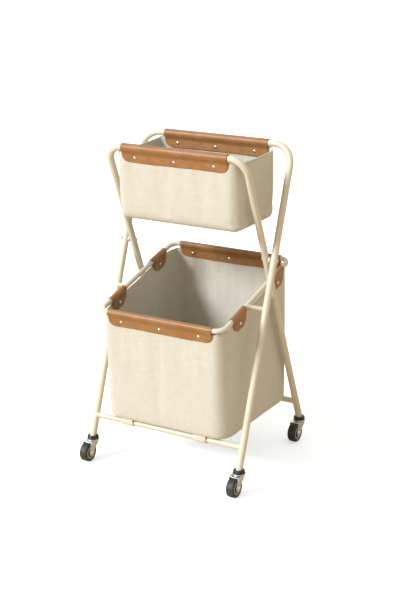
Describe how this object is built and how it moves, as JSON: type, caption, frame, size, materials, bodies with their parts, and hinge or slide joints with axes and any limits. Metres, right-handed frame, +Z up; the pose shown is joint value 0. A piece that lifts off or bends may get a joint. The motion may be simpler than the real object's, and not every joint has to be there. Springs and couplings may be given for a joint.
{
  "type": "laundry sorter on wheels",
  "caption": "Folding laundry sorter: crossed tube frames on swivel casters, a shallow fabric basket on top and a deep one below, hung by riveted leather wraps.",
  "frame": {"origin": "on the floor, under the centre of the overall box", "axes": "+Z up, -Y is the low, front side of the lower basket, X across the frames, parallel to the fold bolts"},
  "size_m": [0.435, 0.402, 0.764],
  "materials": {
    "ivory_paint": "satin powder coat",
    "linen": "plain slubby weave",
    "covered_board": "fabric-covered board",
    "tan_leather": "smooth, slightly glossy",
    "nickel": "polished nickel plate",
    "chrome": "bright plate",
    "black_rubber": "satin rubber",
    "grey_nylon": "moulded",
    "black_plastic": "moulded"
  },
  "bodies": {
    "outer_frame": {"outer_frame_tube": "ivory_paint", "front_crossbar": "ivory_paint", "pivot_bolt_left": "ivory_paint", "pivot_bolt_right": "ivory_paint", "pivot_spacer_left": "ivory_paint", "pivot_spacer_right": "ivory_paint", "lower_rim_ring": "ivory_paint", "rim_stub_left": "ivory_paint", "rim_stub_right": "ivory_paint", "lower_bag": "linen", "upper_bag": "linen", "lower_base_board": "covered_board", "left_bar_loop": "linen", "right_bar_loop": "linen", "upper_back_flap": "tan_leather", "lower_front_flap": "tan_leather", "lower_back_flap": "tan_leather", "front_left_cuff": "tan_leather", "front_right_cuff": "tan_leather", "back_left_cuff": "tan_leather", "back_right_cuff": "tan_leather", "upper_back_rivet_left": "nickel", "upper_back_rivet_middle": "nickel", "upper_back_rivet_right": "nickel", "lower_front_rivet_left": "nickel", "lower_front_rivet_middle": "nickel", "lower_front_rivet_right": "nickel", "lower_back_rivet_left": "nickel", "lower_back_rivet_middle": "nickel", "lower_back_rivet_right": "nickel", "front_left_cuff_rivet": "nickel", "front_right_cuff_rivet": "nickel", "back_left_cuff_rivet": "nickel", "back_right_cuff_rivet": "nickel", "front_left_caster_socket": "black_plastic", "front_right_caster_socket": "black_plastic"},
    "inner_frame": {"inner_frame_tube": "ivory_paint", "rear_crossbar": "ivory_paint", "upper_front_flap": "tan_leather", "upper_front_rivet_left": "nickel", "upper_front_rivet_middle": "nickel", "upper_front_rivet_right": "nickel", "back_left_caster_socket": "black_plastic", "back_right_caster_socket": "black_plastic"},
    "front_left_caster": {"front_left_caster_fork": "chrome", "front_left_wheel_axle": "chrome"},
    "front_right_caster": {"front_right_caster_fork": "chrome", "front_right_wheel_axle": "chrome"},
    "back_left_caster": {"back_left_caster_fork": "chrome", "back_left_wheel_axle": "chrome"},
    "back_right_caster": {"back_right_caster_fork": "chrome", "back_right_wheel_axle": "chrome"},
    "front_left_wheel": {"front_left_wheel_hub": "grey_nylon", "front_left_tyre": "black_rubber"},
    "front_right_wheel": {"front_right_wheel_hub": "grey_nylon", "front_right_tyre": "black_rubber"},
    "back_left_wheel": {"back_left_wheel_hub": "grey_nylon", "back_left_tyre": "black_rubber"},
    "back_right_wheel": {"back_right_wheel_hub": "grey_nylon", "back_right_tyre": "black_rubber"}
  },
  "joints": [
    {"name": "frame_fold", "type": "hinge", "parent": "outer_frame", "child": "inner_frame", "pos_m": [0, 0.0155, 0.50665], "axis": [-1, 0, 0], "range_deg": [0, 28], "deforming": ["upper_bag"]},
    {"name": "front_left_swivel", "type": "hinge", "parent": "outer_frame", "child": "front_left_caster", "pos_m": [-0.202, -0.1545, 0.05], "axis": [0, 0, 1], "continuous": true},
    {"name": "front_right_swivel", "type": "hinge", "parent": "outer_frame", "child": "front_right_caster", "pos_m": [0.202, -0.1545, 0.05], "axis": [0, 0, 1], "continuous": true},
    {"name": "back_left_swivel", "type": "hinge", "parent": "inner_frame", "child": "back_left_caster", "pos_m": [-0.181, 0.1855, 0.05], "axis": [0, 0, 1], "continuous": true},
    {"name": "back_right_swivel", "type": "hinge", "parent": "inner_frame", "child": "back_right_caster", "pos_m": [0.181, 0.1855, 0.05], "axis": [0, 0, 1], "continuous": true},
    {"name": "front_left_roll", "type": "hinge", "parent": "front_left_caster", "child": "front_left_wheel", "pos_m": [-0.202, -0.178, 0.023], "axis": [1, 0, 0], "continuous": true},
    {"name": "front_right_roll", "type": "hinge", "parent": "front_right_caster", "child": "front_right_wheel", "pos_m": [0.202, -0.178, 0.023], "axis": [1, 0, 0], "continuous": true},
    {"name": "back_left_roll", "type": "hinge", "parent": "back_left_caster", "child": "back_left_wheel", "pos_m": [-0.181, 0.162, 0.023], "axis": [1, 0, 0], "continuous": true},
    {"name": "back_right_roll", "type": "hinge", "parent": "back_right_caster", "child": "back_right_wheel", "pos_m": [0.181, 0.162, 0.023], "axis": [1, 0, 0], "continuous": true}
  ]
}
